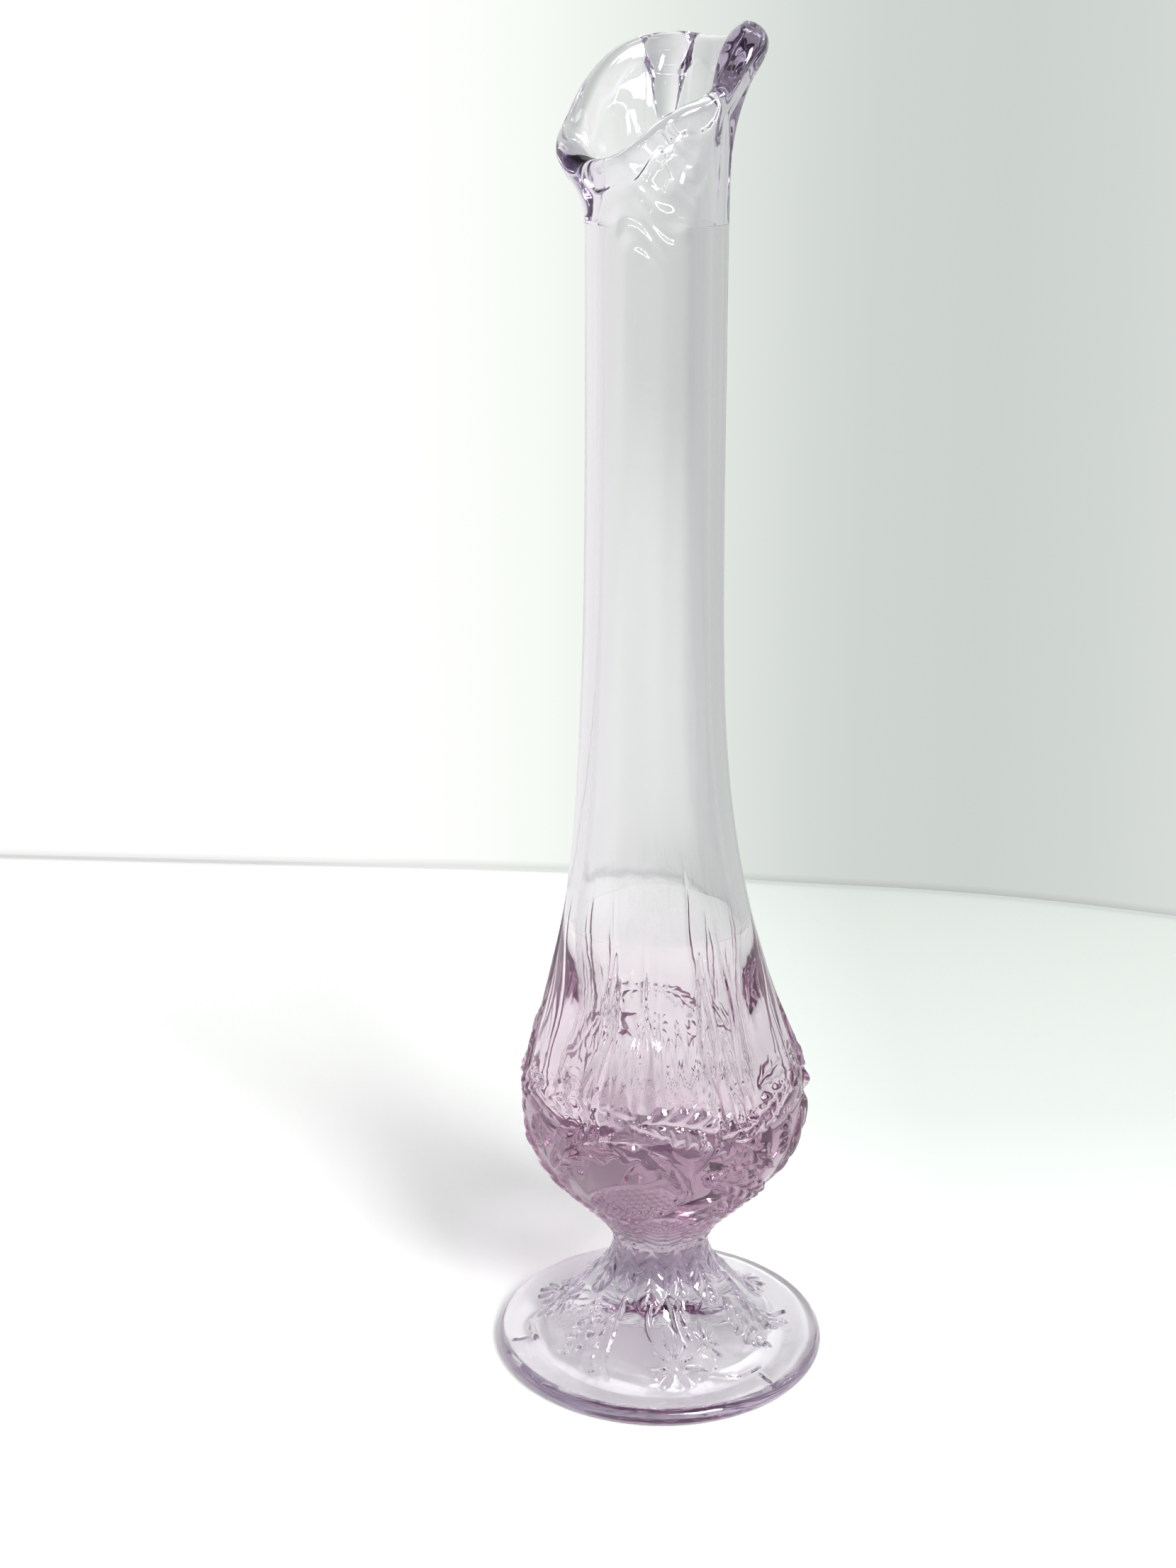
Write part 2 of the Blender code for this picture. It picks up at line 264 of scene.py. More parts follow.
meridianHeights = np.linspace(stemJoint - 14.0, bowlJoint, 900)
meridianRun = np.concatenate(
    [[0.0], np.cumsum(np.hypot(np.diff(meridianHeights), np.diff(outlineRadius(meridianHeights))))]
)
meridianRun = meridianRun - np.interp(stemJoint, meridianHeights, meridianRun)


def climbed(height):  # length of the outline from the stem joint up to a height
    return np.interp(height, meridianHeights, meridianRun)


def patternLift(turn, height):
    # the highest of all motifs, each drawn in a flat map of one third: along the girth and up the outline
    u = np.radians(sectorSpot(turn)) * outlineRadius(height)
    v = climbed(height)
    r = relief
    lift = berryLift(u, v, *r["berry"])
    points, width, tall, lobes = r["curl"]
    lift = np.maximum(lift, leafLift(u, v, points, width, tall, lobes))
    for points, width, tall, lobes in r["feathers"]:
        lift = np.maximum(lift, leafLift(u, v, points, width, tall, lobes))
    for place, radius, tall, petals in r["daisies"]:
        lift = np.maximum(lift, daisyLift(u, v, place, radius, tall, petals))
    for points, width, tall in r["vines"]:
        lift = np.maximum(lift, vineLift(u, v, points, width, tall))
    return lift * smoothStep((60.0 - np.abs(sectorSpot(turn))) / 6.0)  # runs out before the next third


calyx = {"leaves": 6, "bowlLength": 15.0, "footLength": 15.0, "height": 0.8, "footTop": stemJoint - 4.0}


def calyxLift(turn, climb, lengthUp, offset):
    # lance-shaped leaves: half-width shrinks as sqrt(1 - share), groove down the middle
    c = calyx
    step = 360.0 / c["leaves"]
    away = np.abs((turn + offset + step / 2) % step - step / 2) / (step / 2)
    share = np.clip(climb / lengthUp, 0.0, 1.0)
    width = 0.92 * np.sqrt(1.0 - share) + 1e-3
    across = away / width
    blade = np.sqrt(np.clip(1.0 - across**2, 0.0, 1.0)) * smoothStep((1.0 - share) / 0.08)
    veins = (0.5 + 0.5 * np.cos(2 * np.pi * (climb / 2.4 - 1.3 * across))) ** 1.4
    return c["height"] * blade * (1.0 - 0.55 * np.exp(-((across / 0.13) ** 2)) - 0.32 * veins)


def leavesDown(turn, height):  # two rounds of calyx leaves that hang from the stem over the foot
    below = calyx["footTop"] - height
    return np.maximum(
        calyxLift(turn, below, calyx["footLength"], 12.0),
        0.8 * calyxLift(turn, below, calyx["footLength"] - 3.0, 42.0),
    )


streaks = {
    "seed": 11,
    "count": 30,
    "depth": 0.62,
    "top": (84.0, 118.0),
    "foot": (66.0, 78.0),
    "width": (0.42, 0.95),
}


def streakPlan():
    # one row per run of melted pattern: turn in its panel, top, foot, half-width, depth, swing, phase
    s = streaks
    r = np.random.default_rng(s["seed"])
    left = r.uniform(-38.0, 4.0, s["count"] * 5 // 8)
    right = r.uniform(-2.0, 37.0, s["count"] * 3 // 8)
    spot = np.concatenate([left, right])
    count = len(spot)
    length = r.uniform(0.0, 1.0, count) ** 1.6
    top = s["top"][0] + (s["top"][1] - s["top"][0]) * length
    foot = r.uniform(*s["foot"], count)
    width = r.uniform(*s["width"], count)
    depth = s["depth"] * r.uniform(0.4, 1.3, count)
    swing = r.uniform(0.2, 0.9, count)
    phase = r.uniform(0, 6.3, count)
    return np.stack([spot, top, foot, width, depth, swing, phase], axis=1)


streakRuns = streakPlan()


def streakLift(turn, height):
    # sum of depth * exp(-(d / width)^2) along paths that swing about an upright line and thin out upward
    spot = sectorSpot(turn)
    radius = outlineRadius(height)
    across = np.radians(spot) * radius
    total = np.zeros(np.broadcast(turn, height).shape)
    if height.min() > streaks["top"][1] + 4.0 or height.max() < 58.0:
        return total
    for at, top, foot, width, depth, swing, phase in streakRuns:
        share = np.clip((height - foot) / (top - foot), 0.0, 1.0)
        middle = np.radians(at) * radius * (1.0 - 0.12 * share)
        middle = middle + swing * np.sin(height / 4.2 + phase) * (1.0 - 0.6 * share)
        middle = middle + 0.7 * np.sin(height / 11.0 + phase)
        thin = width * (1.25 - 0.75 * share)
        ends = smoothStep((top - height) / (0.35 * (top - foot))) * smoothStep((height - foot + 4.0) / 4.0)
        total += depth * ends * (1.0 - 0.55 * share) * np.exp(-(((across - middle) / thin) ** 2))
    return total


def bodySurface(turn, height):
    # outer radius of stem, bowl and neck: outline, ridges, calyx leaves, pressed pattern and streaks
    slope = np.gradient(outlineRadius(meridianHeights), meridianHeights)
    lean = np.sqrt(1.0 + np.interp(height, meridianHeights, slope) ** 2)
    climb = climbed(height)
    leaf = np.maximum(
        calyxLift(turn, climb + 4.0, calyx["bowlLength"] + 4.0, 0.0),
        0.8 * calyxLift(turn, climb + 4.0, calyx["bowlLength"] - 1.0, 30.0),
    )
    upper = smoothStep((height - vaseForm["waistHeight"] - 1.0) / 2.0)
    wrap = leaf * upper + leavesDown(turn, height) * (1.0 - upper)
    pattern = np.where(climb > 1.5, patternLift(turn, height), 0.0)
    melt = 1.0 - smoothStep((height - relief["meltStart"]) / relief["meltLength"])
    lift = np.maximum(wrap, pattern * melt) * np.minimum(lean, 1.5)
    return outlineRadius(height) + ridgeLift(turn, height) + lift + streakLift(turn, height)


wrinkles = {"turn": -6.0, "halfWidth": 50.0, "height": 266.0, "reach": 17.0, "depth": 0.095}


def wrinkleLift(turn, height):
    # crossed waves with wandering phases inside a soft oval on the front of the mouth
    w = wrinkles
    u = np.radians(turn) * vaseForm["neckRadius"]
    away = np.hypot(turnApart(turn, w["turn"]) / w["halfWidth"], (height - w["height"]) / w["reach"])
    bend = u + 1.6 * np.sin(height / 4.1 + 0.7)
    rise = height + 2.2 * np.sin(u / 3.3) + 1.1 * np.sin(u / 1.7 + height / 5.0)
    wave = np.sin(rise / 1.15) + 0.8 * np.sin(rise / 0.8 + bend / 1.9) + 0.7 * np.sin(bend / 1.3 - rise / 2.4)
    return w["depth"] * wave * smoothStep((1.0 - away) / 0.35)


# ---- meshes

def gridPiece(name, rings, jointBands=(), startCap=None, endCap=None, wrapRings=False):
    # quads between neighbouring rings; a cap is a fan to a middle point; "joint" marks the mating faces
    count, sides = rings.shape[:2]
    verts = rings.reshape(-1, 3)
    low = np.arange(count if wrapRings else count - 1)
    high = (low + 1) % count
    j = np.arange(sides)
    after = (j + 1) % sides
    quads = np.stack(
        [
            low[:, None] * sides + j,
            low[:, None] * sides + after,
            high[:, None] * sides + after,
            high[:, None] * sides + j,
        ],
        axis=-1,
    )
    marks = [np.repeat(np.isin(low, jointBands), sides)]
    quads = quads.reshape(-1, 4)
    fans = []
    for cap, ring, turned in ((startCap, 0, True), (endCap, count - 1, False)):
        if cap is None:
            continue
        middle = len(verts)
        verts = np.vstack([verts, rings[ring].mean(axis=0)])
        first, second = (after, j) if turned else (j, after)
        fans.append(np.stack([ring * sides + first, ring * sides + second, np.full(sides, middle)], axis=-1))
        marks.append(np.full(sides, cap == "joint"))
    mesh = bpy.data.meshes.new(name)
    mesh.vertices.add(len(verts))
    mesh.vertices.foreach_set("co", (verts * mm).astype(np.float32).ravel())
    corners = np.concatenate([quads.ravel()] + [fan.ravel() for fan in fans])
    sizes = np.concatenate([np.full(len(quads), 4)] + [np.full(len(fan), 3) for fan in fans])
    mesh.loops.add(len(corners))
    mesh.loops.foreach_set("vertex_index", corners.astype(np.int32))
    mesh.polygons.add(len(sizes))
    mesh.polygons.foreach_set("loop_start", (np.cumsum(sizes) - sizes).astype(np.int32))
    mesh.update(calc_edges=True)
    mesh.validate()
    mark = mesh.attributes.new("joint", "FLOAT", "FACE")
    mark.data.foreach_set("value", np.concatenate(marks).astype(np.float32))
    mesh.shade_smooth()
    mesh.set_sharp_from_angle(angle=radians(62.0))
    piece = bpy.data.objects.new(name, mesh)
    bpy.context.collection.objects.link(piece)
    print(name, len(verts), "points")
    return piece


def levels(low, high, count, jointLow=True, jointHigh=True):
    # even heights, with a narrow band beside each joint that keeps the shading even across it
    inner = np.linspace(low, high, count)
    extra = [low + 0.02] if jointLow else []
    extra += [high - 0.02] if jointHigh else []
    return np.sort(np.concatenate([inner, extra]))


def makeStem():
    gap = vaseForm["jointGap"] / 2
    height = levels(footJoint + gap, stemJoint - gap, 52)[:, None]
    turn = ringTurns(480)[None, :]
    rings = onVase(turn, bodySurface(turn, height), height)
    return gridPiece("stem_glass", rings, startCap="joint", endCap="joint")


def cavityRadius(height):  # rounded floor sqrt(1 - (1 - climb)^2), then the wall's inner side
    f = vaseForm
    floor = f["cavityFloor"]
    climb = np.clip((height - floor) / (f["bellyHeight"] - floor), 0.0, 1.0)
    round_ = (f["bellyRadius"] - f["bellyWall"]) * np.sqrt(np.clip(1.0 - (1.0 - climb) ** 2, 0.0, 1.0))
    return np.minimum(outlineRadius(height) - wallThickness(height), round_)


def innerRipple(turn, height):  # slow, shallow waves of the cooled inner wall
    angle = np.radians(turn)
    wave = np.cos(3 * angle + height / 70.0) + 0.6 * np.cos(5 * angle - height / 90.0 + 1.3)
    fine = 0.35 * np.cos(13 * angle + 0.5 * np.sin(height / 40.0))
    return 0.06 * (wave + fine) * smoothStep((height - vaseForm["cavityFloor"]) / 12.0)


def makeBowl():
    gap = vaseForm["jointGap"] / 2
    turn = ringTurns(540)[None, :]
    low, high = climbed(stemJoint + gap), climbed(bowlJoint - gap)
    patterned, plain = np.linspace(low + 0.3, 52.0, 132), np.linspace(53.3, high - 0.9, 26)
    run = np.concatenate([[low, low + 0.02], patterned, plain, [high - 0.02, high]])
    height = np.interp(run, meridianRun, meridianHeights)[:, None]
    outside = onVase(turn, bodySurface(turn, height), height)
    wall = np.linspace(bowlJoint - gap, vaseForm["bellyHeight"], 12)
    shares = np.array([0.84, 0.68, 0.53, 0.4, 0.28, 0.18, 0.1, 0.05, 0.02, 0.005])
    down = np.concatenate([wall, vaseForm["cavityFloor"] + 14.0 * shares])
    down = np.insert(down, 1, down[0] - 0.02)[:, None]
    inside = onVase(turn, cavityRadius(down) + innerRipple(turn, down), down)
    rings = np.concatenate([outside, inside])
    return gridPiece("bowl_glass", rings, jointBands=[len(height) - 1], startCap="joint", endCap="glass")


def makeNeck():
    gap = vaseForm["jointGap"] / 2
    turn = ringTurns(360)[None, :]
    low, high = bowlJoint + gap, neckJoint - gap
    plain, wrinkled = np.linspace(low + 1.4, 244.0, 92), np.linspace(244.4, high - 0.4, 34)
    up = np.concatenate([[low, low + 0.02], plain, wrinkled, [high - 0.02, high]])[:, None]
    outside = onVase(turn, bodySurface(turn, up) + wrinkleLift(turn, up), up)
    down = levels(bowlJoint + gap, neckJoint - gap, 46)[::-1][:, None]
    inside = onVase(turn, outlineRadius(down) - wallThickness(down) + innerRipple(turn, down), down)
    rings = np.concatenate([outside, inside])
    joints = [len(up) - 1, len(up) + len(down) - 1]
    return gridPiece("neck_glass", rings, jointBands=joints, wrapRings=True)


# The rim's stations are (turn, height above the joint with the neck). Lists with three values go with the
# three fingers: turn, reach outward, extra glass outside and inside, and half-width in degrees.
lipForm = {
    "rimWall": 3.7,
    "flare": 1.5,
    "backFlare": 2.4,
    "flarePower": 2.4,
    "fingerTurns": (-77.0, 72.0, 171.0),
    "fingerOut": (1.9, 1.7, 1.2),
    "fingerThick": (0.9, 2.9, 1.9),
    "fingerIn": (1.3, 1.2, 1.8),
    "fingerWidth": (31.0, 25.0, 18.0),
    "tailLength": 21.0,
    "tailPower": 0.8,
    "bead": 0.45,
    "beadDepth": 4.6,
    "rim": (
        (-150, 33.3), (-128, 28.0), (-100, 20.0), (-77, 16.0), (-58, 13.2), (-36, 13.6), (-14, 17.4),
        (0, 20.4), (18, 23.0), (38, 25.0), (49, 27.6), (58, 34.5), (76, 38.6), (96, 37.0), (135, 36.0),
        (170, 36.8),
    ),
}


def rimHeight(turn):  # periodic cubic curve through the rim's stations
    stations = np.array(lipForm["rim"], float)
    a = np.concatenate([stations[-3:, 0] - 360.0, stations[:, 0], stations[:3, 0] + 360.0])
    h = np.concatenate([stations[-3:, 1], stations[:, 1], stations[:3, 1]])
    slope = np.gradient(h, a)
    i = np.clip(np.searchsorted(a, turn, side="right") - 1, 0, len(a) - 2)
    span = a[i + 1] - a[i]
    t = (turn - a[i]) / span
    low = (1 + 2 * t) * (1 - t) ** 2 * h[i] + t * (1 - t) ** 2 * span * slope[i]
    high = t**2 * (3 - 2 * t) * h[i + 1] + t**2 * (t - 1) * span * slope[i + 1]
    return low + high


def makeLip():
    f = lipForm
    gap = vaseForm["jointGap"] / 2
    turn = ringTurns(420)[None, :]
    crown = (f["rimWall"] + f["bead"]) / 2  # half the edge's full thickness, more at the fingers
    for finger, extra, sunk, width in zip(
        f["fingerTurns"], f["fingerThick"], f["fingerIn"], f["fingerWidth"]
    ):
        tail = np.clip(1.0 - (turnApart(turn, finger) / width) ** 2, 0.0, 1.0) ** f["tailPower"]
        crown = crown + (extra + sunk) / 2 * tail
    rim = rimHeight(turn) - crown
    climb = np.concatenate([[0.0, 0.0012], np.linspace(0.02, 1.0, 66)])[:, None]
    base = neckJoint + gap
    height = base + (neckJoint + rim - base) * climb
    below = neckJoint + rim - height
    start = bodySurface(turn, np.full((1, 1), base))
    wall = vaseForm["neckWall"] + (f["rimWall"] - vaseForm["neckWall"]) * smoothStep(1.0 - below / 7.0)
    wall = np.where(climb < 1e-9, vaseForm["neckWall"], wall)
    flare = f["flare"] + f["backFlare"] * smoothStep(turnApart(turn, 0.0) / 110.0 - 0.3)
    middle = start - vaseForm["neckWall"] / 2 + flare * climb ** f["flarePower"]
    thick = np.zeros_like(middle)
    scallop = 0.7 * np.sin(np.radians(9 * turn) + 1.5 * np.sin(np.radians(3 * turn)))
    inward = f["bead"] * smoothStep((f["beadDepth"] + scallop - below) / 1.1)
    for finger, out, extra, sunk, width in zip(
        f["fingerTurns"], f["fingerOut"], f["fingerThick"], f["fingerIn"], f["fingerWidth"]
    ):
        away = turnApart(turn, finger)
        middle = middle + out * np.exp(-((away / width) ** 2)) * np.exp(-((below / 7.5) ** 1.4))
        narrow = width * np.clip(1.0 - below / f["tailLength"], 0.04, 1.0)
        tail = np.clip(1.0 - (away / narrow) ** 2, 0.0, 1.0) ** f["tailPower"]
        thick = thick + extra * tail * np.exp(-((below / 13.0) ** 1.6)) * smoothStep(climb / 0.15)
        inward = inward + sunk * tail * np.exp(-((below / 10.0) ** 2))
    rise = np.gradient(height, axis=0)
    out = np.gradient(middle, axis=0)
    size = np.hypot(rise, out)
    normalOut, normalUp = rise / size, -out / size
    keep = smoothStep(climb / 0.08)
    normalOut, normalUp = 1.0 + (normalOut - 1.0) * keep, normalUp * keep
    outer = wall / 2 + thick + wrinkleLift(turn, height)
    inner = wall / 2 + inward * smoothStep(climb / 0.2)
    outside = onVase(turn, middle + outer * normalOut, height + outer * normalUp)
    inside = onVase(turn, middle - inner * normalOut, height - inner * normalUp)
    around = np.radians(np.linspace(0.0, 180.0, 15)[1:-1])[:, None]
    reach = np.where(np.cos(around) > 0, outer[-1:], inner[-1:]) * np.cos(around)
    tall = (outer[-1:] + inner[-1:]) / 2 * np.sin(around)
    edge = onVase(turn, middle[-1:] + reach * normalOut[-1:] - tall * normalUp[-1:],
                  height[-1:] + reach * normalUp[-1:] + tall * normalOut[-1:])
    rings = np.concatenate([outside, edge, inside[::-1]])
    return gridPiece("lip_glass", rings, jointBands=[len(rings) - 1], wrapRings=True)


footForm = {
    "edgeHeight": 4.2,
    "brimHeight": 5.6,
    "domeRadius": 26.5,
    "domePower": 1.3,
    "ringInset": 2.0,
    "ringWidth": 7.0,
    "hollow": 11.0,
    "hollowPower": 1.5,
}

footRelief = {
    "flower": ((1.5, 24.5), 6.8, 1.2, 11),
    "leaves": (
        ([(-15, 8), (-20, 12), (-27, 13)], 3.4, 0.9, 7),
        ([(-12, 13), (-16, 18), (-18, 24)], 2.8, 0.8, 6),
        ([(14, 9), (20, 12), (27, 12)], 3.2, 0.9, 7),
        ([(2, 14), (5, 20), (12, 24)], 2.2, 0.7, 6),
    ),
    "vines": (
        ([(-3, 13), (-4, 18), (0, 23), (3, 26)], 0.8, 1.0),
        ([(1, 14), (3, 19), (8, 24), (15, 26), (21, 22)], 0.7, 1.0),
        ([(-9, 12), (-14, 19), (-14, 26)], 0.6, 0.7),
        ([(21, 24), (25, 30)], 0.4, 0.35),
    ),
    "star": ((9.0, 19.5), 4.0, 0.7, 9),
}


def footLift(turn, radius):  # the foot's motifs, drawn in plan in one third of the disc
    spot = np.radians(sectorSpot(turn))
    u, v = radius * np.sin(spot), radius * np.cos(spot)
    r = footRelief
    lift = daisyLift(u, v, *r["flower"])
    lift = np.maximum(lift, daisyLift(u, v, *r["star"]))
    for points, width, tall, lobes in r["leaves"]:
        lift = np.maximum(lift, leafLift(u, v, points, width, tall, lobes))
    for points, width, tall in r["vines"]:
        lift = np.maximum(lift, vineLift(u, v, points, width, tall))
    return lift


def makeFoot():
    f = footForm
    gap = vaseForm["jointGap"] / 2
    top = footJoint - gap
    turn = ringTurns(480)[None, :]
    inner = outlineRadius(top)
    brimRadius = footRadius - f["edgeHeight"] / 2
    share = np.concatenate([[0.0, 0.0008], np.linspace(0.01, 1.0, 58)])
    domeRadii = inner + (f["domeRadius"] - inner) * share
    domeHeights = f["brimHeight"] + (top - f["brimHeight"]) * (1.0 - share) ** f["domePower"]
    brimShare = np.linspace(0.0, 1.0, 30)[1:-1]
    brimRadii = f["domeRadius"] + (brimRadius - f["domeRadius"]) * brimShare
    brimHeights = f["brimHeight"] + (f["edgeHeight"] - f["brimHeight"]) * smoothStep(brimShare)
    angles = np.radians(np.linspace(90.0, -62.0, 17))
    edgeRadii = brimRadius + f["edgeHeight"] / 2 * np.cos(angles)
    edgeHeights = f["edgeHeight"] / 2 * (1.0 + np.sin(angles))
    ringOuter = footRadius - f["ringInset"]
    ringInner = ringOuter - f["ringWidth"]
    reach = np.concatenate([[0.995, 0.985], np.linspace(0.97, 0.03, 34)])
    radii = np.concatenate([domeRadii, brimRadii, edgeRadii, [ringOuter, ringInner], ringInner * reach])
    hollow = f["hollow"] * (1.0 - reach**2) ** f["hollowPower"]
    heights = np.concatenate([domeHeights, brimHeights, edgeHeights, [0.0, 0.0], hollow])
    topSide = np.arange(len(radii)) < len(domeRadii) + len(brimRadii)
    slope = np.arctan2(np.gradient(radii), -np.gradient(heights))
    slope = np.where(topSide, slope, 0.0) * smoothStep((radii - inner) / 2.0)
    radius, height, slope = radii[:, None], heights[:, None], slope[:, None]
    near = smoothStep((radius - inner - 0.5) / 1.5)
    lift = np.maximum(leavesDown(turn, height), footLift(turn, radius) * near)
    lift = np.where(topSide[:, None], lift, 0.0)
    place = onVase(turn, radius + lift * np.cos(slope), height + lift * np.sin(slope))
    return gridPiece("foot_glass", place[::-1], startCap="glass", endCap="joint")


# ---- glass

# "wear" is the most roughness, "ripple" the strength of the skin's unevenness, "density" per metre.
glassKinds = {
    "foot": {"colour": (0.61, 0.51, 0.65), "density": 34.0, "ripple": 0.10, "wear": 0.03},
    "stem": {"colour": (0.56, 0.42, 0.55), "density": 60.0, "ripple": 0.10, "wear": 0.03},
    "bowl": {"colour": (0.68, 0.50, 0.63), "density": 51.0, "ripple": 0.12, "wear": 0.03},
    "neck": {"colour": (0.54, 0.49, 0.57), "density": 72.0, "ripple": 0.05, "wear": 0.01},
    "lip": {"colour": (0.62, 0.55, 0.67), "density": 60.0, "ripple": 0.06, "wear": 0.01},
}


def makeGlass(name, colour, density, ripple, wear):
    material = bpy.data.materials.new(name)
    material.use_nodes = True
    nodes, links = material.node_tree.nodes, material.node_tree.links
    shader = nodes["Principled BSDF"]
    shader.inputs["Transmission Weight"].default_value = 1.0
    shader.inputs["Base Color"].default_value = (1.0, 1.0, 1.0, 1.0)
    joint = nodes.new("ShaderNodeAttribute")  # the mating faces bend no light, so a joint doesn't show
    joint.attribute_name = "joint"
    index = nodes.new("ShaderNodeMapRange")
    index.inputs["To Min"].default_value = 1.5
    index.inputs["To Max"].default_value = 1.0
    links.new(joint.outputs["Fac"], index.inputs["Value"])
    links.new(index.outputs["Result"], shader.inputs["IOR"])
    place = nodes.new("ShaderNodeTexCoord")
    skin = nodes.new("ShaderNodeTexNoise")  # the faint unevenness of a fire-polished skin
    skin.inputs["Scale"].default_value = 160.0
    skin.inputs["Detail"].default_value = 2.0
    links.new(place.outputs["Object"], skin.inputs["Vector"])
    bump = nodes.new("ShaderNodeBump")
    bump.inputs["Strength"].default_value = ripple
    bump.inputs["Distance"].default_value = 0.0004
    links.new(skin.outputs["Fac"], bump.inputs["Height"])
    links.new(bump.outputs["Normal"], shader.inputs["Normal"])
    haze = nodes.new("ShaderNodeMapRange")  # the skin is a little duller on its high places
    haze.inputs["To Min"].default_value = 0.0
    haze.inputs["To Max"].default_value = wear
    links.new(skin.outputs["Fac"], haze.inputs["Value"])
    links.new(haze.outputs["Result"], shader.inputs["Roughness"])
    shader.inputs["IOR"].default_value = 1.5
    body = nodes.new("ShaderNodeVolumeAbsorption")
    body.inputs["Color"].default_value = (*colour, 1.0)
    body.inputs["Density"].default_value = density
    links.new(body.outputs["Volume"], nodes["Material Output"].inputs["Volume"])
    return material


mouthPieces = []
for makePiece, node in (
    (makeFoot, "foot"),
    (makeStem, "stem"),
    (makeBowl, "bowl"),
    (makeNeck, "neck"),
    (makeLip, "lip"),
):
    piece = makePiece()
    if node in ("lip", "neck"):
        mouthPieces.append(piece)
    piece.data.materials.append(makeGlass(node + " glass", **glassKinds[node]))
    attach(piece, "root")
    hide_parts(node)

# ---- stage, light and camera

# Metres. The backdrop is an upright sheet along a curve through its (x, y) places, a little above the table.
stageForm = {
    "floorSize": 3.0,
    "sheet": (
        (-1.2, 0.400), (-0.239, 0.332), (-0.025, 0.316), (0.043, 0.305), (0.189, 0.269), (0.5, 0.12),
        (0.9, -0.25),
    ),
    "sheetHeight": 0.9,
    "gap": 0.0012,
    "contactShadow": 0.003,  # painted contact shadow: the sheet is darker up to this height above its lower edge
    # the table's own pale colour, mixed towards a painted shade at the back on the right
    "tableNear": (0.94, 0.95, 0.94),
    "tableShadeFar": (0.68, 0.72, 0.69),  # painted shade, darkest at the back on the right where the backdrop shades the table
    # x and y ranges over which the painted shade comes in
    "shadeAcross": (-0.06, 0.08),
    "shadeDeep": (-0.08, 0.12),
    "paintedLightTones": (  # painted light along the glowing sheet, bright on the left and painted shade on the right: share of the way from x = -0.1 to 0.2, and colour
        (0.0, (1.05, 1.05, 1.04)),
        (0.093, (1.0, 1.01, 0.99)),
        (0.217, (0.93, 0.97, 0.92)),
        (0.53, (0.66, 0.70, 0.67)),
        (0.60, (0.624, 0.665, 0.637)),
        (0.733, (0.607, 0.647, 0.620)),
        (0.863, (0.634, 0.675, 0.647)),
        (1.0, (0.70, 0.735, 0.705)),
    ),
}


def flatPiece(name, corners, material):
    mesh = bpy.data.meshes.new(name)
    mesh.from_pydata(corners, [], [(0, 1, 2, 3)])
    mesh.materials.append(material)
    piece = bpy.data.objects.new(name, mesh)
    bpy.context.collection.objects.link(piece)
    return piece


def makeFloor():
    material = bpy.data.materials.new("pale table")
    material.use_nodes = True
    shader = material.node_tree.nodes["Principled BSDF"]
    shader.inputs["Roughness"].default_value = 0.75
    nodes, links = material.node_tree.nodes, material.node_tree.links
    place = nodes.new("ShaderNodeTexCoord")
    split = nodes.new("ShaderNodeSeparateXYZ")
    links.new(place.outputs["Object"], split.inputs["Vector"])
    across = nodes.new("ShaderNodeMapRange")
    left, right = stageForm["shadeAcross"]
    across.inputs["From Min"].default_value = left
    across.inputs["From Max"].default_value = right
    links.new(split.outputs["X"], across.inputs["Value"])
    deep = nodes.new("ShaderNodeMapRange")
    front, back = stageForm["shadeDeep"]
    deep.inputs["From Min"].default_value = front
    deep.inputs["From Max"].default_value = back
    links.new(split.outputs["Y"], deep.inputs["Value"])
    # painted shade: the table's colour darkens towards the back on the right, where the backdrop shades it
    shadeMask = nodes.new("ShaderNodeMath")
    shadeMask.operation = "MULTIPLY"
    links.new(across.outputs["Result"], shadeMask.inputs[0])
    links.new(deep.outputs["Result"], shadeMask.inputs[1])
    tone = nodes.new("ShaderNodeMix")
    tone.data_type = "RGBA"
    tone.inputs["A"].default_value = (*stageForm["tableNear"], 1.0)
    tone.inputs["B"].default_value = (*stageForm["tableShadeFar"], 1.0)
    links.new(shadeMask.outputs["Value"], tone.inputs["Factor"])
    links.new(tone.outputs["Result"], shader.inputs["Base Color"])
    half, z = stageForm["floorSize"] / 2, -0.00005
    corners = [(-half, -half, z), (half, -half, z), (half, half, z), (-half, half, z)]
    return flatPiece("floor", corners, material)
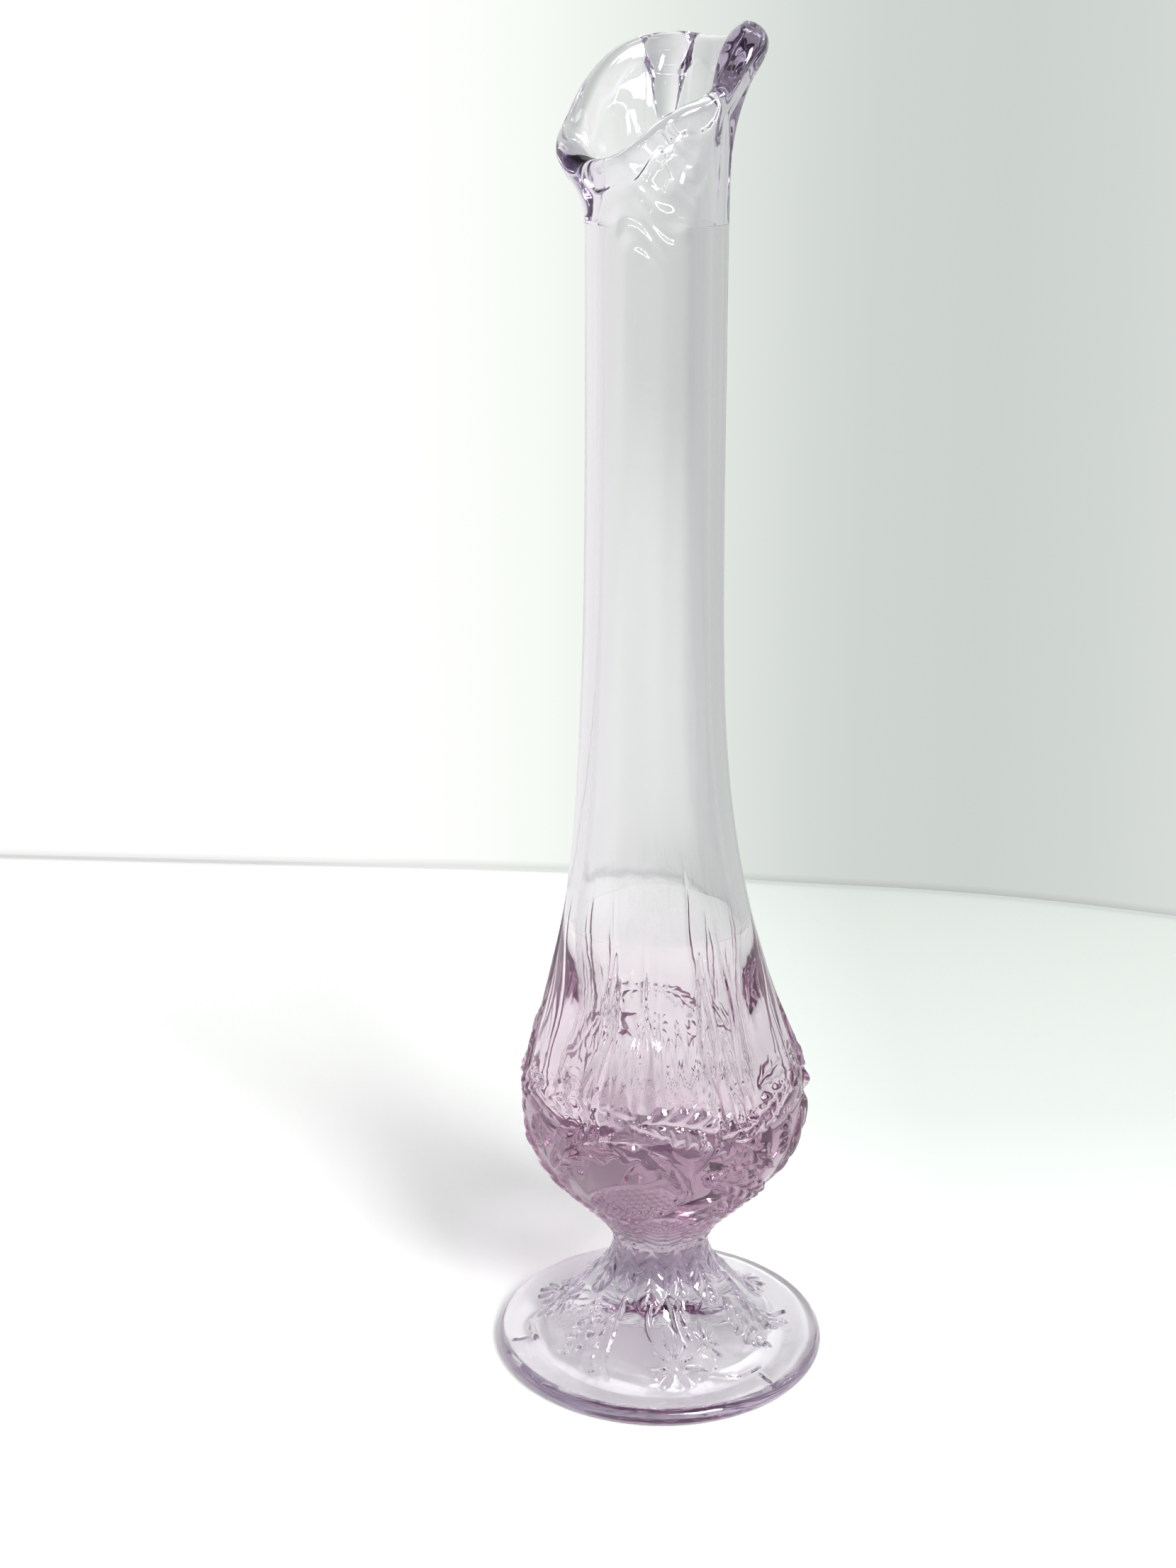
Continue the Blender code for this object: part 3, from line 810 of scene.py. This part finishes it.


# The backdrop glows instead of being lit: its brightness is painted light, white on the left and falling to
# painted shade on the right.
def makeBackdrop():
    material = bpy.data.materials.new("pale backdrop")
    material.use_nodes = True
    nodes, links = material.node_tree.nodes, material.node_tree.links
    nodes.remove(nodes["Principled BSDF"])
    place = nodes.new("ShaderNodeTexCoord")
    split = nodes.new("ShaderNodeSeparateXYZ")
    links.new(place.outputs["Object"], split.inputs["Vector"])
    across = nodes.new("ShaderNodeMapRange")
    across.inputs["From Min"].default_value = -0.1
    across.inputs["From Max"].default_value = 0.2
    links.new(split.outputs["X"], across.inputs["Value"])
    ramp = nodes.new("ShaderNodeValToRGB")
    for index, (at, colour) in enumerate(stageForm["paintedLightTones"]):
        stop = ramp.color_ramp.elements[index] if index < 2 else ramp.color_ramp.elements.new(at)
        stop.position = at
        stop.color = (*colour, 1.0)
    links.new(across.outputs["Result"], ramp.inputs["Fac"])
    # painted light: the sheet glows with the ramp's colours
    glow = nodes.new("ShaderNodeEmission")
    links.new(ramp.outputs["Color"], glow.inputs["Color"])
    contactShadow = nodes.new("ShaderNodeMapRange")  # painted contact shadow: the shaded line along the sheet's lower edge
    contactShadow.inputs["From Min"].default_value = stageForm["gap"]
    contactShadow.inputs["From Max"].default_value = stageForm["gap"] + stageForm["contactShadow"]
    contactShadow.inputs["To Min"].default_value = 0.8
    links.new(split.outputs["Z"], contactShadow.inputs["Value"])
    links.new(contactShadow.outputs["Result"], glow.inputs["Strength"])
    clear = nodes.new("ShaderNodeBsdfTransparent")
    sides = nodes.new("ShaderNodeNewGeometry")
    choose = nodes.new("ShaderNodeMixShader")  # seen from behind the board lets the view through
    links.new(sides.outputs["Backfacing"], choose.inputs["Fac"])
    links.new(glow.outputs["Emission"], choose.inputs[1])
    links.new(clear.outputs["BSDF"], choose.inputs[2])
    links.new(choose.outputs["Shader"], nodes["Material Output"].inputs["Surface"])
    line = curveThrough(stageForm["sheet"], 60)
    low = np.column_stack([line, np.full(len(line), stageForm["gap"])])
    high = np.column_stack([line, np.full(len(line), stageForm["sheetHeight"])])
    count = len(line)
    mesh = bpy.data.meshes.new("backdrop")
    faces = [(i, i + 1, count + i + 1, count + i) for i in range(count - 1)]
    mesh.from_pydata(np.vstack([low, high]).tolist(), [], faces)
    mesh.materials.append(material)
    mesh.shade_smooth()
    piece = bpy.data.objects.new("backdrop", mesh)
    bpy.context.collection.objects.link(piece)
    return piece


room = {
    "behind": (1.3, 1.3, 1.33),  # the side of the room in front of the vase
    "ahead": (2.0, 2.0, 1.98),
    "above": (0.9, 0.9, 0.9),
    "strength": 0.30,
}


def makeWorld():
    # brightness by direction: behind to ahead along Y, and up to the pale ceiling along Z
    world = bpy.data.worlds.new("studio")
    bpy.context.scene.world = world
    world.use_nodes = True
    nodes, links = world.node_tree.nodes, world.node_tree.links
    way = nodes.new("ShaderNodeTexCoord")
    split = nodes.new("ShaderNodeSeparateXYZ")
    links.new(way.outputs["Generated"], split.inputs["Vector"])
    ahead = nodes.new("ShaderNodeMapRange")
    ahead.inputs["From Min"].default_value = -0.5
    ahead.inputs["From Max"].default_value = 0.6
    links.new(split.outputs["Y"], ahead.inputs["Value"])
    above = nodes.new("ShaderNodeMapRange")
    above.inputs["From Min"].default_value = 0.35
    above.inputs["From Max"].default_value = 0.85
    links.new(split.outputs["Z"], above.inputs["Value"])
    first = nodes.new("ShaderNodeMix")
    first.data_type = "RGBA"
    first.inputs["A"].default_value = (*room["behind"], 1.0)
    first.inputs["B"].default_value = (*room["ahead"], 1.0)
    links.new(ahead.outputs["Result"], first.inputs["Factor"])
    second = nodes.new("ShaderNodeMix")
    second.data_type = "RGBA"
    second.inputs["B"].default_value = (*room["above"], 1.0)
    links.new(first.outputs["Result"], second.inputs["A"])
    links.new(above.outputs["Result"], second.inputs["Factor"])
    links.new(second.outputs["Result"], nodes["Background"].inputs["Color"])
    nodes["Background"].inputs["Strength"].default_value = room["strength"]


lamps = {  # place and aim in metres, size of the panel, power in watts
    "key": {"place": (0.50, -0.80, 0.82), "aim": (0.0, 0.0, 0.1), "size": (0.42, 0.42), "power": 17.0},
    "overhead": {"place": (0.06, 0.05, 0.95), "aim": (0.0, 0.0, 0.0), "size": (0.24, 0.20), "power": 0.7},
    "glint": {"place": (0.16, -0.62, 0.62), "aim": (0.0, 0.0, 0.06), "size": (0.22, 0.03), "power": 0.8},
    "fill": {"place": (-0.9, -0.5, 0.9), "aim": (0.0, 0.0, 0.1), "size": (0.9, 0.9), "power": 0.8},
    "tube": {"place": (-0.06, -0.60, 0.335), "aim": (0.0, 0.0, 0.27), "size": (0.8, 0.008), "power": 0.9},
}


def makeLamp(name, place, aim, size, power):
    lamp = bpy.data.lights.new(name, "AREA")
    lamp.shape = "RECTANGLE"
    lamp.size, lamp.size_y = size
    lamp.energy = power
    holder = bpy.data.objects.new(name, lamp)
    bpy.context.collection.objects.link(holder)
    holder.location = place
    holder.rotation_euler = (Vector(aim) - Vector(place)).to_track_quat("-Z", "Y").to_euler()
    return holder


def makeCamera():
    c = camera
    data = bpy.data.cameras.new("camera")
    data.lens = c["lens"]
    holder = bpy.data.objects.new("camera", data)
    bpy.context.collection.objects.link(holder)
    holder.location = (c["side"] * mm, -c["back"] * mm, c["height"] * mm)
    holder.rotation_euler = (radians(90.0 - c["down"]), 0.0, 0.0)
    bpy.context.scene.camera = holder


makeFloor()
makeBackdrop()
makeWorld()
holders = {name: makeLamp(name, **lamp) for name, lamp in lamps.items()}
mouth = bpy.data.collections.new("under the tube lamp")  # the tube lamp lights only neck and lip
for piece in mouthPieces:
    mouth.objects.link(piece)
holders["tube"].light_linking.receiver_collection = mouth
makeCamera()
bpy.context.scene.view_settings.view_transform = "Standard"
bounces = 40  # light turns back many times inside the thick glass before it gets out
cycles = bpy.context.scene.cycles
cycles.max_bounces = bounces
cycles.glossy_bounces = bounces
cycles.transmission_bounces = bounces
cycles.transparent_max_bounces = 16
cycles.sample_clamp_indirect = 25.0
cycles.blur_glossy = 0.2

print("done")
